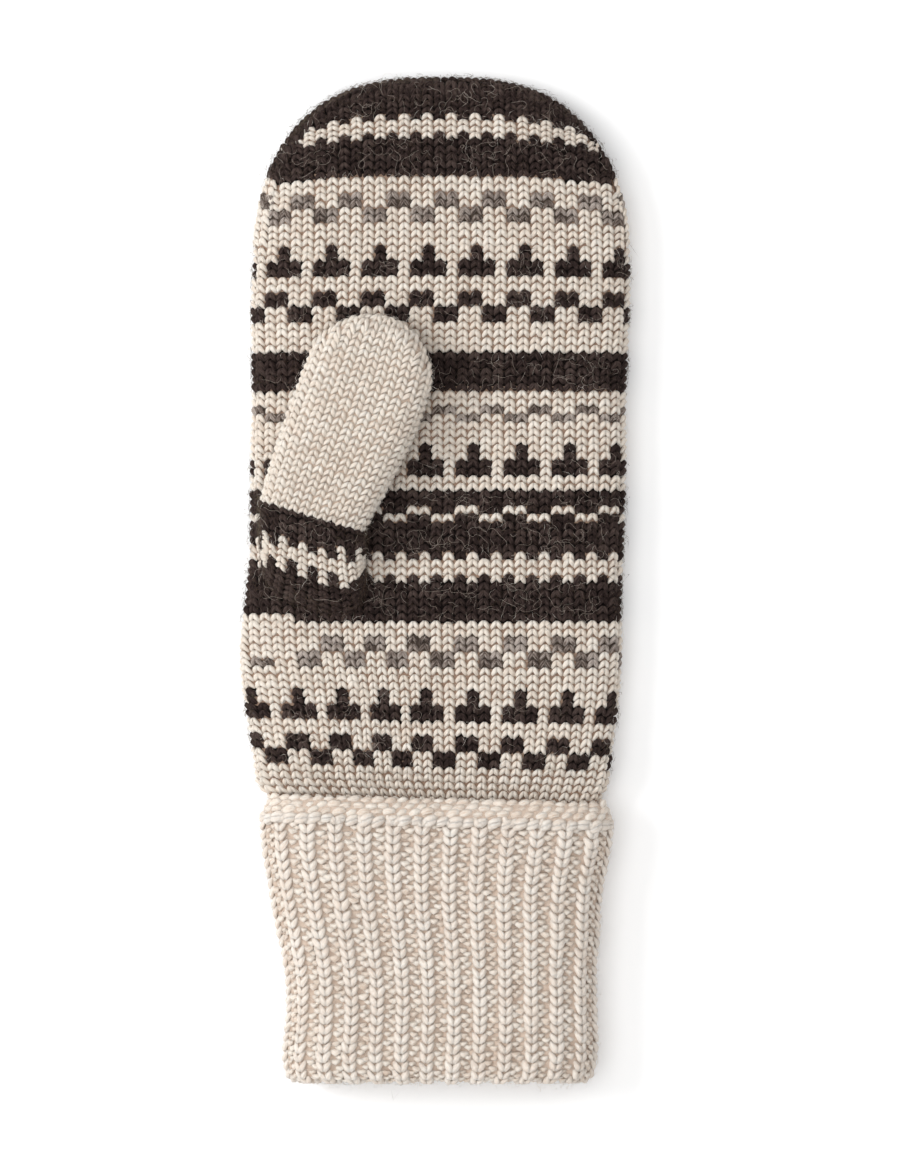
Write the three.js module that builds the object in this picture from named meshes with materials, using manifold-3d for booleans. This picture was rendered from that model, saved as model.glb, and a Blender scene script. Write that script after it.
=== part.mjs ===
// A knitted mitten lying palm up: a hand with a rounded end, a thumb on its gusset, and a ribbed cuff
// that is turned up once, with a chained edge. Every piece is a real wall of knitting round a hollow.
// Millimetres. While it is built, the cuff's fold is at y = 0, the fingers point to +Y and z = 0 is
// the table. The finished group stands on the middle of its own footprint.
import * as THREE from "three";
import Module from "manifold-3d";
import { mergeVertices } from "three/addons/utils/BufferGeometryUtils.js";

const wasm = await Module();
wasm.setup();

// The knitting
const wall = 2.6; // one layer, two colours of wool thick
const clearance = 0.3; // between pieces that are sewn or knitted together

// The hand
const handLength = 209.8; // from its hidden lower end to the fingertips
const handWidth = 101.6;
const handThickness = 15; // both layers and the air between them
const tipLength = 45.8; // the stretch in which the end rounds off
const tipRoll = 7.5; // how far back the end rolls over from palm to back

// The cuff
const cuffHeight = 68.5; // from the fold up to the rim of the outer layer
const cuffWidth = 86;
const wristHollow = 8.4; // the height that the cuff leaves open where it lies flat
const layerGap = 0.7; // between its inner and outer layers
const tuck = 6; // how far the hand reaches down behind the rim
const ribPitch = 7.5;
const ribDepth = 1;

// The chained edge on the rim
const edgeHeight = 8.8;
const edgeThickness = 3.3;
const edgeProud = 0.9; // how far it stands out from the ribs

// The neck, where the hand swells out of the cuff and sinks to the table
const neckFlare = 9;
const neckDrop = 28;

// The thumb, on an axis that leans from the hand's own
const thumbLength = 57.3; // from the crotch to its tip
const thumbWidth = 35.1;
const thumbThickness = 13.5;
const thumbTipLength = 16;
const thumbTipRoll = 6.5;
const thumbLean = 17; // degrees, towards the middle of the palm
const thumbInset = 16; // from the hand's side to the thumb's axis at the crotch
const thumbHeight = 91; // from the hand's lower end up to the crotch
const gussetLength = 24; // how far the gusset runs back from the crotch along the palm
const gussetFullness = 1.5; // 1 is a straight ramp up to the thumb, and 2 a round elbow
const crotchRadius = 2;

// How the pieces are divided into facets
const handSides = 36;
const thumbSides = 26;
const gussetSides = 26;
const gussetSteps = 5;
const outlineSteps = 240;

// How square a flattened tube is: the palm side is fuller, and the side that lies down is flatter
const palmSquareness = 4.5;
const restSquareness = 8;
const settle = 0.3; // how far the lying side is pressed flat

// How full a rounded end is: 2 is an ellipse, and more is squarer
const handTipFullness = 2.8;
const roundFullness = 2;

// Outline of the hand. along is a share of its length, left and right are shares of half its width,
// and thick is a share of its thickness. The tip rounds these off by its own formula.
const handRows = [
  { along: 0.0, left: -0.98, right: 0.87, thick: 0.96 },
  { along: 0.11, left: -1.0, right: 0.91, thick: 0.97 },
  { along: 0.19, left: -1.05, right: 0.95, thick: 1.0 },
  { along: 0.26, left: -1.08, right: 0.97, thick: 1.03 },
  { along: 0.32, left: -1.05, right: 0.965, thick: 1.04 },
  { along: 0.39, left: -1.025, right: 0.975, thick: 1.02 },
  { along: 0.49, left: -1.02, right: 0.99, thick: 1.0 },
  { along: 0.6, left: -1.01, right: 0.99, thick: 1.0 },
  { along: 0.7, left: -1.015, right: 1.01, thick: 0.99 },
  { along: 0.79, left: -1.0, right: 1.01, thick: 0.97 },
  { along: 0.9, left: -0.995, right: 0.995, thick: 0.93 },
  { along: 1.0, left: -0.995, right: 0.995, thick: 0.88 },
];

// Outline of the cuff and the edge on it. along is a share of their whole height, and left and right
// are shares of half the cuff's width.
const cuffRows = [
  { along: 0.0, left: -0.97, right: 0.95 },
  { along: 0.1, left: -1.0, right: 0.99 },
  { along: 0.27, left: -0.975, right: 0.985 },
  { along: 0.4, left: -0.99, right: 0.985 },
  { along: 0.51, left: -1.03, right: 1.0 },
  { along: 0.68, left: -1.09, right: 1.02 },
  { along: 0.86, left: -1.14, right: 1.08 },
  { along: 1.0, left: -1.115, right: 1.08 },
];

// Outline of the thumb. along is a share of its length from the crotch, left and right are shares of
// half its width, and thick is a share of its thickness.
const thumbRows = [
  { along: 0.0, left: -0.84, right: 0.87, thick: 0.9 },
  { along: 0.13, left: -0.85, right: 0.95, thick: 0.96 },
  { along: 0.34, left: -0.85, right: 1.09, thick: 1.0 },
  { along: 0.53, left: -0.82, right: 1.18, thick: 1.0 },
  { along: 0.72, left: -0.78, right: 1.2, thick: 0.98 },
  { along: 0.86, left: -0.74, right: 1.17, thick: 0.95 },
  { along: 1.0, left: -0.64, right: 1.14, thick: 0.9 },
];

// Section of the chained edge. inward is a share of its thickness, up a share of its height.
const edgeRows = [
  { inward: 0.3, up: 0 },
  { inward: 0.05, up: 0.1 },
  { inward: 0, up: 0.3 },
  { inward: 0.22, up: 0.48 },
  { inward: 0.08, up: 0.68 },
  { inward: 0.2, up: 0.9 },
  { inward: 0.5, up: 1 },
  { inward: 0.9, up: 0.9 },
  { inward: 1, up: 0.5 },
  { inward: 1, up: 0 },
];

const rimHeight = cuffHeight + clearance + edgeHeight;
const cuffThickness = wristHollow + 2 * (2 * wall + layerGap);
const foldRadius = wall + layerGap / 2;
const handBottom = cuffHeight - tuck + clearance;
const handTop = handBottom + handLength;
const crotchY = handBottom + thumbHeight;

// 0 before the start, 1 after the end, and smooth between them
const ease = (share) => THREE.MathUtils.smoothstep(share, 0, 1);
const mix = THREE.MathUtils.lerp;

// One column of a table at a share along it, on a curve through its rows
function column(rows, name, along) {
  const last = rows.length - 1;
  const share = Math.min(Math.max(along, rows[0].along), rows[last].along);
  const i = Math.min(rows.findLastIndex((row) => row.along <= share), last - 1);
  const slope = (k) => {
    const [from, to] = [rows[Math.max(k - 1, 0)], rows[Math.min(k + 1, last)]];
    return (to[name] - from[name]) / (to.along - from.along);
  };
  const span = rows[i + 1].along - rows[i].along;
  const t = (share - rows[i].along) / span;
  return (
    rows[i][name] * (1 + 2 * t) * (1 - t) ** 2 +
    rows[i + 1][name] * t * t * (3 - 2 * t) +
    span * t * (1 - t) * (slope(i) * (1 - t) - slope(i + 1) * t)
  );
}

// How far a round end has opened at a distance from its tip, from 0 at the tip to 1
function opened(distance, length, fullness) {
  const left = Math.min(Math.max(1 - distance / length, 0), 1);
  return (1 - left ** 2) ** (1 / fullness);
}

// Section of the turned-up cuff at a height, moved inwards by an inset
function cuffSection(y, inset) {
  const along = y / rimHeight;
  return {
    left: (column(cuffRows, "left", along) * cuffWidth) / 2 + inset,
    right: (column(cuffRows, "right", along) * cuffWidth) / 2 - inset,
    bottom: inset,
    thickness: cuffThickness - 2 * inset,
    rest: inset,
  };
}

// Section of the hand at a height, moved inwards by an inset: it leaves the cuff as the inner layer
// of it, swells to the hand's own outline, sinks to the table, and closes at the fingertips
function handSection(y, inset) {
  const throat = cuffSection(Math.min(y, rimHeight), wall + layerGap);
  const along = (y - handBottom) / handLength;
  const flare = ease((y - rimHeight) / neckFlare);
  const drop = ease((y - rimHeight) / neckDrop);
  const toTip = handTop - inset - y;
  const width = opened(toTip, tipLength - inset, handTipFullness);
  const roll = opened(toTip, tipRoll - inset, roundFullness);
  const left = mix(throat.left, (column(handRows, "left", along) * handWidth) / 2, flare) + inset;
  const right = mix(throat.right, (column(handRows, "right", along) * handWidth) / 2, flare) - inset;
  const middle = (left + right) / 2;
  const thick = mix(throat.thickness, column(handRows, "thick", along) * handThickness, drop) - 2 * inset;
  const bottom = mix(throat.bottom, 0, drop) + inset;
  return {
    left: mix(middle, left, width),
    right: mix(middle, right, width),
    bottom: bottom + (thick * (1 - roll)) / 2,
    thickness: thick * roll,
    rest: inset,
  };
}

// Section of the thumb across its axis, at a distance from the crotch, moved inwards by an inset
function thumbSection(distance, inset) {
  const along = distance / thumbLength;
  const toTip = thumbLength - inset - distance;
  const width = opened(toTip, thumbTipLength - inset, roundFullness);
  const roll = opened(toTip, thumbTipRoll - inset, roundFullness);
  const left = (column(thumbRows, "left", along) * thumbWidth) / 2 + inset;
  const right = (column(thumbRows, "right", along) * thumbWidth) / 2 - inset;
  const middle = (left + right) / 2;
  const thick = column(thumbRows, "thick", along) * thumbThickness - 2 * inset;
  return {
    left: mix(middle, left, width),
    right: mix(middle, right, width),
    bottom: inset + (thick * (1 - roll)) / 2,
    thickness: thick * roll,
    rest: inset,
  };
}

// Points at even distances round a flattened tube. Across it the height is half the thickness times
// the root of 1 minus a power of the share of the half width; the lying side is pressed flat.
function outline({ left, right, bottom, thickness, rest }, count) {
  const fine = [];
  for (let k = 0; k <= outlineSteps; k += 1) {
    const angle = (2 * Math.PI * k) / outlineSteps;
    const across = Math.cos(angle);
    const power = Math.sin(angle) >= 0 ? palmSquareness : restSquareness;
    const rise = Math.sign(Math.sin(angle)) * Math.sqrt(Math.max(1 - Math.abs(across) ** power, 0));
    const z = bottom + (thickness * (1 + rise)) / 2 - (rise < 0 ? settle * -rise : 0);
    fine.push(new THREE.Vector2(mix(left, right, (1 + across) / 2), Math.max(z, rest)));
  }
  const travelled = [0];
  for (let k = 1; k <= outlineSteps; k += 1) {
    travelled.push(travelled[k - 1] + fine[k].distanceTo(fine[k - 1]));
  }
  const points = [];
  for (let n = 0; n < count; n += 1) {
    const goal = (travelled[outlineSteps] * n) / count;
    const k = Math.max(travelled.findIndex((length) => length > goal), 1);
    const share = (goal - travelled[k - 1]) / (travelled[k] - travelled[k - 1]);
    points.push(fine[k - 1].clone().lerp(fine[k], share));
  }
  return points;
}

// A closed surface through rings of points. Joined end to end it is a ring-shaped solid; otherwise
// each end is closed by a fan.
function loft(rings, { joined = false } = {}) {
  const count = rings[0].length;
  const positions = rings.flat().flatMap((point) => point.toArray());
  const faces = [];
  const spans = joined ? rings.length : rings.length - 1;
  for (let i = 0; i < spans; i += 1) {
    const next = (i + 1) % rings.length;
    for (let j = 0; j < count; j += 1) {
      const [a, b] = [i * count + j, i * count + ((j + 1) % count)];
      const [c, d] = [next * count + j, next * count + ((j + 1) % count)];
      faces.push(a, b, d, a, d, c);
    }
  }
  if (!joined) {
    for (const [i, order] of [[0, [1, 0]], [rings.length - 1, [0, 1]]]) {
      const centre = new THREE.Vector3();
      rings[i].forEach((point) => centre.addScaledVector(point, 1 / count));
      const hub = positions.length / 3;
      positions.push(...centre.toArray());
      for (let j = 0; j < count; j += 1) {
        const pair = [i * count + j, i * count + ((j + 1) % count)];
        faces.push(hub, pair[order[0]], pair[order[1]]);
      }
    }
  }
  return solid(positions, faces);
}

// The solid inside a closed mesh, turned right way out if its faces point inwards
function solid(positions, faces) {
  const geometry = new THREE.BufferGeometry();
  geometry.setAttribute("position", new THREE.Float32BufferAttribute(positions, 3));
  geometry.setIndex(volumeOf(positions, faces) < 0 ? [...faces].reverse() : faces);
  const merged = mergeVertices(geometry, 1e-5);
  const mesh = new wasm.Mesh({
    numProp: 3,
    vertProperties: new Float32Array(merged.attributes.position.array),
    triVerts: new Uint32Array(merged.index.array),
  });
  return new wasm.Manifold(mesh);
}

function volumeOf(positions, faces) {
  const corner = (k) => new THREE.Vector3().fromArray(positions, 3 * faces[k]);
  let volume = 0;
  for (let k = 0; k < faces.length; k += 3) {
    volume += corner(k).dot(corner(k + 1).cross(corner(k + 2))) / 6;
  }
  return volume;
}

function geometryOf(manifold) {
  const { vertProperties, triVerts } = manifold.getMesh();
  const geometry = new THREE.BufferGeometry();
  geometry.setAttribute("position", new THREE.BufferAttribute(vertProperties, 3));
  geometry.setIndex(new THREE.BufferAttribute(triVerts, 1));
  return geometry;
}

// The hand's outer or inner form as a plain solid, from a height up to the tip
function handForm(from, inset) {
  const top = handTop - inset;
  const bodySteps = 14;
  const tipShares = [1, 0.8, 0.62, 0.46, 0.32, 0.21, 0.13, 0.075, 0.035, 0.008];
  const tip = tipLength - inset;
  const heights = [];
  for (let k = 0; k < bodySteps; k += 1) {
    heights.push(mix(from, top - tip, k / bodySteps));
  }
  tipShares.forEach((share) => heights.push(top - tip * share));
  return loft(
    heights.map((y) =>
      outline(handSection(y, inset), handSides).map((point) => new THREE.Vector3(point.x, y, point.y)),
    ),
  );
}

// Where a point of a thumb section lies. The section stands across the axis at a distance from the
// crotch, or is tipped back towards the wrist about a hinge under the crotch, where a tilt of 90
// degrees lays it flat.
const palmTop = column(handRows, "thick", thumbHeight / handLength) * handThickness;
const crotchZ = palmTop + 2 * clearance;
const axis = new THREE.Vector3(0, 1, 0).applyAxisAngle(
  new THREE.Vector3(0, 0, -1),
  THREE.MathUtils.degToRad(thumbLean),
);
const acrossAxis = new THREE.Vector3(axis.y, -axis.x, 0);
const hinge = new THREE.Vector3(thumbInset - handWidth / 2, crotchY, crotchZ - crotchRadius);

function thumbPoint(point, distance, tilt) {
  const angle = THREE.MathUtils.degToRad(tilt);
  const reach = point.y + crotchRadius;
  return hinge
    .clone()
    .addScaledVector(acrossAxis, point.x)
    .addScaledVector(axis, distance)
    .add(new THREE.Vector3(0, -reach * Math.sin(angle), reach * Math.cos(angle)));
}

// The thumb's outer or inner form, from a distance past the crotch up to its tip
function thumbForm(from, inset) {
  const top = thumbLength - inset;
  const shares = [0, 0.22, 0.44, 0.66, 0.82, 0.92, 1];
  const tipShares = [0.72, 0.5, 0.32, 0.18, 0.08, 0.015];
  const tip = thumbTipLength - inset;
  const distances = shares.map((share) => mix(from, top - tip, share));
  tipShares.forEach((share) => distances.push(top - tip * share));
  return loft(
    distances.map((distance) =>
      outline(thumbSection(distance, inset), thumbSides).map((point) => thumbPoint(point, distance, 0)),
    ),
  );
}

// How far the gusset's upper side is from the hinge at a tilt: a swollen ramp from the top of the
// thumb down to the palm, where the powers of its two shares add up to 1
function gussetReach(tilt) {
  const angle = THREE.MathUtils.degToRad(tilt);
  const upright = thumbThickness * thumbRows[0].thick + crotchRadius;
  const lying = gussetLength + crotchRadius;
  const shares = (Math.cos(angle) / upright) ** gussetFullness + (Math.sin(angle) / lying) ** gussetFullness;
  return shares ** (-1 / gussetFullness);
}

// The gusset's outer or inner form: the thumb's first section tips back until it lies on the palm,
// drawn out to the gusset's length, and goes on down to a depth below the hinge
function gussetForm(from, inset, depth) {
  const rings = [];
  const upright = thumbSection(0, inset);
  if (from > 0) {
    rings.push(outline(upright, gussetSides).map((point) => thumbPoint(point, from, 0)));
  }
  for (let k = 0; k <= gussetSteps; k += 1) {
    const tilt = (90 * k) / gussetSteps;
    const tipped = { ...upright, thickness: gussetReach(tilt) - crotchRadius - 2 * inset };
    rings.push(outline(tipped, gussetSides).map((point) => thumbPoint(point, 0, tilt)));
  }
  const sunk = rings.at(-1).map((point) => point.clone().add(new THREE.Vector3(0, 0, -depth)));
  rings.push(sunk);
  return loft(rings);
}

// The turned-up cuff: two layers joined by the fold, as one profile of insets and heights that is
// carried round the wrist. The ribs are ridges on the outer layer, so it has two points for each.
function makeCuff() {
  const girth = 2 * (cuffWidth - cuffThickness) + Math.PI * cuffThickness;
  const ribs = Math.round(girth / ribPitch);
  const levels = [0, 0.16, 0.34, 0.52, 0.7, 0.86, 1];
  const innerTop = cuffHeight - tuck;
  const climb = (inset, from, to, relief = 0) =>
    levels.map((share) => ({ inset, y: mix(from, to, share), relief }));
  const fold = [30, 60, 90, 120, 150].map((degrees) => {
    const angle = THREE.MathUtils.degToRad(degrees);
    return {
      inset: foldRadius * (1 - Math.cos(angle)),
      y: foldRadius * (1 - Math.sin(angle)),
      relief: ribDepth * Math.max(Math.cos(angle), 0),
    };
  });
  const profile = [
    ...climb(0, foldRadius, cuffHeight, ribDepth),
    ...climb(wall, cuffHeight, wall, 0),
    ...climb(wall + layerGap, wall, innerTop, 0),
    ...climb(2 * foldRadius, innerTop, foldRadius, 0),
    ...fold.reverse(),
  ];
  const rings = profile.map(({ inset, y, relief }) => {
    const ridges = outline(cuffSection(y, inset), 2 * ribs);
    const gutters = outline(cuffSection(y, inset + relief), 2 * ribs);
    return ridges.map((ridge, j) => {
      const point = j % 2 ? gutters[j] : ridge;
      return new THREE.Vector3(point.x, y, point.y);
    });
  });
  return geometryOf(loft(rings, { joined: true }));
}

// The chained edge: two soft rolls, one above the other, carried round the rim
function makeCuffEdge() {
  const sides = 52;
  const base = cuffHeight + clearance;
  const rings = edgeRows.map(({ inward, up }) => {
    const y = base + up * edgeHeight;
    const section = cuffSection(y, inward * edgeThickness - edgeProud);
    return outline(section, sides).map((point) => new THREE.Vector3(point.x, y, Math.max(point.y, 0)));
  });
  return geometryOf(loft(rings, { joined: true }));
}

// How far the gusset is drawn down before it is cut to the palm's own shape
const seatDepth = handThickness / 4;

// The passage from the hand into the thumb, which opens the palm and hollows the gusset
const passage = gussetForm(wall, wall, crotchRadius + wall + seatDepth);

function makeHand() {
  const hollow = handForm(handBottom - wall, wall);
  return geometryOf(handForm(handBottom, 0).subtract(hollow).subtract(passage));
}

function makeGusset() {
  const body = gussetForm(0, 0, seatDepth);
  const palm = handForm(handBottom, -clearance);
  return geometryOf(body.subtract(passage).subtract(palm));
}

function makeThumb() {
  return geometryOf(thumbForm(clearance, 0).subtract(thumbForm(-wall, wall)));
}

const cream = { color: 0xe5dbcd, roughness: 0.95, metalness: 0 };
const darkBrown = { color: 0x332a27, roughness: 0.95, metalness: 0 };

function piece(name, geometry, finish) {
  const mesh = new THREE.Mesh(geometry, new THREE.MeshStandardMaterial(finish));
  mesh.name = name;
  return mesh;
}

const mitten = new THREE.Group();
mitten.add(
  piece("hand", makeHand(), darkBrown),
  piece("gusset", makeGusset(), darkBrown),
  piece("thumb", makeThumb(), cream),
  piece("cuff", makeCuff(), cream),
  piece("cuff_edge", makeCuffEdge(), cream),
);

// The origin is the middle of the footprint
const box = new THREE.Box3().setFromObject(mitten);
const middle = box.getCenter(new THREE.Vector3());
mitten.position.set(-middle.x, -middle.y, -box.min.z);

export default mitten;
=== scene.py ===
"""A knitted mitten lying palm up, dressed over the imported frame.

Every stitch is modelled: two slanted legs of wool that meet in a point. The stitches lie in columns
and rows on the same surfaces as the frame's solids: the hand with its rounded end, the gusset and
thumb, and the cuff that is turned up once. Under them is a closed shell, the wall of the knitting.
Sizes are in millimetres, in the frame's own axes: +Y to the fingertips and +Z up out of the palm.
"""
import math

import bpy
import numpy as np
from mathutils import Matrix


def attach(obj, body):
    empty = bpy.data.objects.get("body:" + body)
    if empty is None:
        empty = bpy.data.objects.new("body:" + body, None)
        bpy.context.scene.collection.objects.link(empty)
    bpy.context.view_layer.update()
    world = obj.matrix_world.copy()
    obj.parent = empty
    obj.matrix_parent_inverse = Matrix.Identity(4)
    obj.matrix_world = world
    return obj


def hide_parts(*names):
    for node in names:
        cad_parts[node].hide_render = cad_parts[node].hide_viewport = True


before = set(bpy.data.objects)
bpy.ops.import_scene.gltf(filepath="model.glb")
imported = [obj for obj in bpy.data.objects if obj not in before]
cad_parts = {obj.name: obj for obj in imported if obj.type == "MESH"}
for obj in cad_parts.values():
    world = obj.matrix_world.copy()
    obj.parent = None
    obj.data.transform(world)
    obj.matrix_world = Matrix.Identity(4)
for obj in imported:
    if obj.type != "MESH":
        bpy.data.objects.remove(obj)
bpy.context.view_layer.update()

chance = np.random.default_rng(12)
METRES = 0.001
FOLD_PLACE = np.array([1.545, -136.117, 0.0])  # the middle of the cuff's fold, on the table

# The hand
WALL = 2.6
HAND_LENGTH = 209.8
HAND_WIDTH = 101.6
HAND_THICKNESS = 15
TIP_LENGTH = 45.8
TIP_ROLL = 7.5
HAND_TIP_FULLNESS = 2.8
ROUND_FULLNESS = 2

# The cuff, turned up once, and the chained edge on its rim
CUFF_HEIGHT = 68.5
CUFF_WIDTH = 86
WRIST_HOLLOW = 8.4
LAYER_GAP = 0.7
TUCK = 6
RIBS = 26
RIB_DEPTH = 1
EDGE_HEIGHT = 8.8
NECK_FLARE = 9
NECK_DROP = 28
NECK_OVERLAP = 4  # how far inside the cuff the hand begins to widen
NECK_SINK = 5.2  # how much deeper than the frame's the knitting lies where it comes out of the cuff
NECK_HASTE = 2.4  # it is back at the frame's depth this many times sooner than the neck has dropped

# The thumb, which leans towards the middle of the palm
THUMB_LENGTH = 57.3
THUMB_WIDTH = 35.1
THUMB_THICKNESS = 13.5
THUMB_TIP_LENGTH = 16
THUMB_TIP_ROLL = 6.5
THUMB_LEAN = math.radians(17)
THUMB_INSET = 16
THUMB_HEIGHT = 91
GUSSET_LENGTH = 24
GUSSET_FULLNESS = 1.5
CROTCH_RADIUS = 2

# How square the flattened tubes are on the palm side and on the side that lies down
PALM_SQUARENESS = 4.5
REST_SQUARENESS = 8
SETTLE = 0.3

CLEARANCE = 0.3
RIM_HEIGHT = CUFF_HEIGHT + CLEARANCE + EDGE_HEIGHT
CUFF_THICKNESS = WRIST_HOLLOW + 2 * (2 * WALL + LAYER_GAP)
FOLD_RADIUS = WALL + LAYER_GAP / 2
HAND_BOTTOM = CUFF_HEIGHT - TUCK + CLEARANCE
HAND_TOP = HAND_BOTTOM + HAND_LENGTH
CROTCH_Y = HAND_BOTTOM + THUMB_HEIGHT


def table(text):
    """The columns of a small table, as arrays under the names in its first line."""
    names, *rows = [line.split() for line in text.strip().splitlines()]
    return dict(zip(names, np.array(rows, float).T))


# Outlines: along is a share of the piece's length, left and right are shares of half its width, and
# thick is a share of its thickness
HAND_ROWS = table("""
    along left right thick
    0.00 -0.98 0.87 0.96
    0.11 -1.0 0.91 0.97
    0.19 -1.05 0.95 1.0
    0.26 -1.08 0.97 1.03
    0.32 -1.05 0.965 1.04
    0.39 -1.025 0.975 1.02
    0.49 -1.02 0.99 1.0
    0.60 -1.01 0.99 1.0
    0.70 -1.015 1.01 0.99
    0.79 -1.0 1.01 0.97
    0.90 -0.995 0.995 0.93
    1.00 -0.995 0.995 0.88
""")
CUFF_ROWS = table("""
    along left right
    0.00 -0.97 0.95
    0.10 -1.0 0.99
    0.27 -0.975 0.985
    0.40 -0.99 0.985
    0.51 -1.03 1.0
    0.68 -1.09 1.02
    0.86 -1.14 1.08
    1.00 -1.115 1.08
""")
THUMB_ROWS = table("""
    along left right thick
    0.00 -0.84 0.87 0.9
    0.13 -0.85 0.95 0.96
    0.34 -0.85 1.09 1.0
    0.53 -0.82 1.18 1.0
    0.72 -0.78 1.2 0.98
    0.86 -0.74 1.17 0.95
    1.00 -0.64 1.14 0.9
""")

# The knitting. A wale is a column of stitches.
HAND_WALES = 64
THUMB_WALES = 25
WALE = 3.46
ROW = 2.074
TIP_ROW = 1.708  # the rows are closer at the fingertips
THUMB_ROW = 1.97
CUFF_ROW = 2.55
SUNK = 0.85  # how far the middle of the yarn lies under the outer surface
FIRST_ROW = -6
LAST_ROW = 91
STRIPE_ROW = 4  # the row from which the full row height is used
STRIPE_HEIGHT = 255.9
HAND_PHASE = 0.1  # how far the first wale is from the hand's edge, in wales
SLOPE, SLOPE_REACH = 1.2, 48  # near the cuff, rows and rim drop this much over this far to the right
BOW, BOW_REACH, BOW_FADE = 5, 40, 7  # row 0 hangs this much this far out, and it fades in so many rows

# How far to the right the hand's wales have drifted below the thumb, in wales
DRIFT_TOP, DRIFT_LENGTH = 161, 56
DRIFT = table("""
    wale shift
    0 0.3
    8 0.45
    16 0.6
    20 1.0
    24 1.7
    28 2.0
    32 2.0
    44 1.0
    64 0.3
""")

# The chart, from the fingertips down: how many rows, and the four wales that repeat round the hand.
# D is dark, C is cream and G is grey: stripes with a toothed edge, small zigzags, sprigs and checks.
CHART = """
    6 DDDD  1 DCDC  2 CCCC  1 DCDC  5 DDDD  2 CCCC  2 CCGG  2 GGCC  3 CCCC  2 CDCC  2 DDDC  2 CCCC
    2 DDCC  2 CCDD  4 CCCC  5 DDDD  2 CCCC  1 CCGG  1 GGCC  3 CCCC  2 CDCC  2 DDDC  2 CCCC  2 DDDD
    1 CCDD  1 DDCC  4 DDDD  1 DCDC  2 CCCC  1 DCDC  5 DDDD  2 CCCC  2 GGCC  2 CCGG  3 CCCC  2 CDCC
    2 DDDC  2 CCCC  2 DDCC  2 CCDD  6 CCCC
"""
GUSSET_CHART = "6 DDDD  1 DCDC  2 CCCC  1 DCDC  6 DDDD"
BESIDE_GUSSET = (28, 34)  # between these wales the chart is changed
RAISED_ROWS = (55, 63)
PATCH_ROWS = (66, 71)
EDGE_DARK_ROWS = 9  # the wales that run round the fingertips are dark above this row
CREAM, DARK, GREY = range(3)


def charted(text):
    """The chart as an array, one line of four colours for each row."""
    words = text.split()
    lines = [line for count, line in zip(words[::2], words[1::2]) for _ in range(int(count))]
    return np.array([["CDG".index(letter) for letter in line] for line in lines])


def ease(share):
    """0 before the start, 1 after the end, and three squares less two cubes between."""
    t = np.clip(share, 0, 1)
    return t * t * (3 - 2 * t)


def mix(a, b, share):
    return a + (b - a) * share


def column(rows, name, along):
    """One column of a table at shares along it: a cubic through its rows, whose slope at a row is
    that between the rows before and after it."""
    at, value = rows["along"], rows[name]
    before = np.maximum(np.arange(len(at)) - 1, 0)
    after = np.minimum(np.arange(len(at)) + 1, len(at) - 1)
    slope = (value[after] - value[before]) / (at[after] - at[before])
    share = np.clip(along, at[0], at[-1])
    i = np.clip(np.searchsorted(at, share, side="right") - 1, 0, len(at) - 2)
    span = at[i + 1] - at[i]
    t = (share - at[i]) / span
    bend = span * t * (1 - t) * (slope[i] * (1 - t) - slope[i + 1] * t)
    return value[i] * (1 + 2 * t) * (1 - t) ** 2 + value[i + 1] * t * t * (3 - 2 * t) + bend


def opened(distance, length, fullness):
    """How far a round end has opened at a distance from its tip: 1 less the square of the share that
    is left, to the power of 1 over the fullness."""
    left = np.clip(1 - distance / length, 0, 1)
    return (1 - left**2) ** (1 / fullness)


def section(left, right, bottom, thickness, inset):
    return {"left": left, "right": right, "bottom": bottom, "thickness": thickness, "rest": inset}


def cuff_section(y, inset):
    """The cuff's flattened tube at a height, moved inwards by an inset."""
    y, inset = np.broadcast_arrays(np.asarray(y, float), inset)
    left = column(CUFF_ROWS, "left", y / RIM_HEIGHT) * CUFF_WIDTH / 2 + inset
    right = column(CUFF_ROWS, "right", y / RIM_HEIGHT) * CUFF_WIDTH / 2 - inset
    return section(left, right, inset, CUFF_THICKNESS - 2 * inset, inset)


def hand_section(y, inset, rounded=True):
    """The hand's tube at a height. It leaves the cuff as its inner layer, swells, sinks to the table
    and, where it is rounded, closes at the fingertips."""
    throat = cuff_section(np.minimum(y, RIM_HEIGHT), WALL + LAYER_GAP)
    along = (y - HAND_BOTTOM) / HAND_LENGTH
    flare = ease((y - RIM_HEIGHT + NECK_OVERLAP) / NECK_FLARE)
    drop = ease((y - RIM_HEIGHT) / NECK_DROP)
    to_tip = HAND_TOP - inset - y
    left = mix(throat["left"], column(HAND_ROWS, "left", along) * HAND_WIDTH / 2, flare) + inset
    right = mix(throat["right"], column(HAND_ROWS, "right", along) * HAND_WIDTH / 2, flare) - inset
    thick = mix(throat["thickness"], column(HAND_ROWS, "thick", along) * HAND_THICKNESS, drop) - 2 * inset
    thick = thick - NECK_SINK * (1 - ease((y - RIM_HEIGHT) / NECK_DROP * NECK_HASTE))
    bottom = mix(throat["bottom"], 0, drop) + inset
    if rounded:
        width = opened(to_tip, TIP_LENGTH - inset, HAND_TIP_FULLNESS)
        middle = (left + right) / 2
        left, right = mix(middle, left, width), mix(middle, right, width)
    roll = opened(to_tip, TIP_ROLL - inset, ROUND_FULLNESS)
    return section(left, right, bottom + thick * (1 - roll) / 2, thick * roll, inset)


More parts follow.
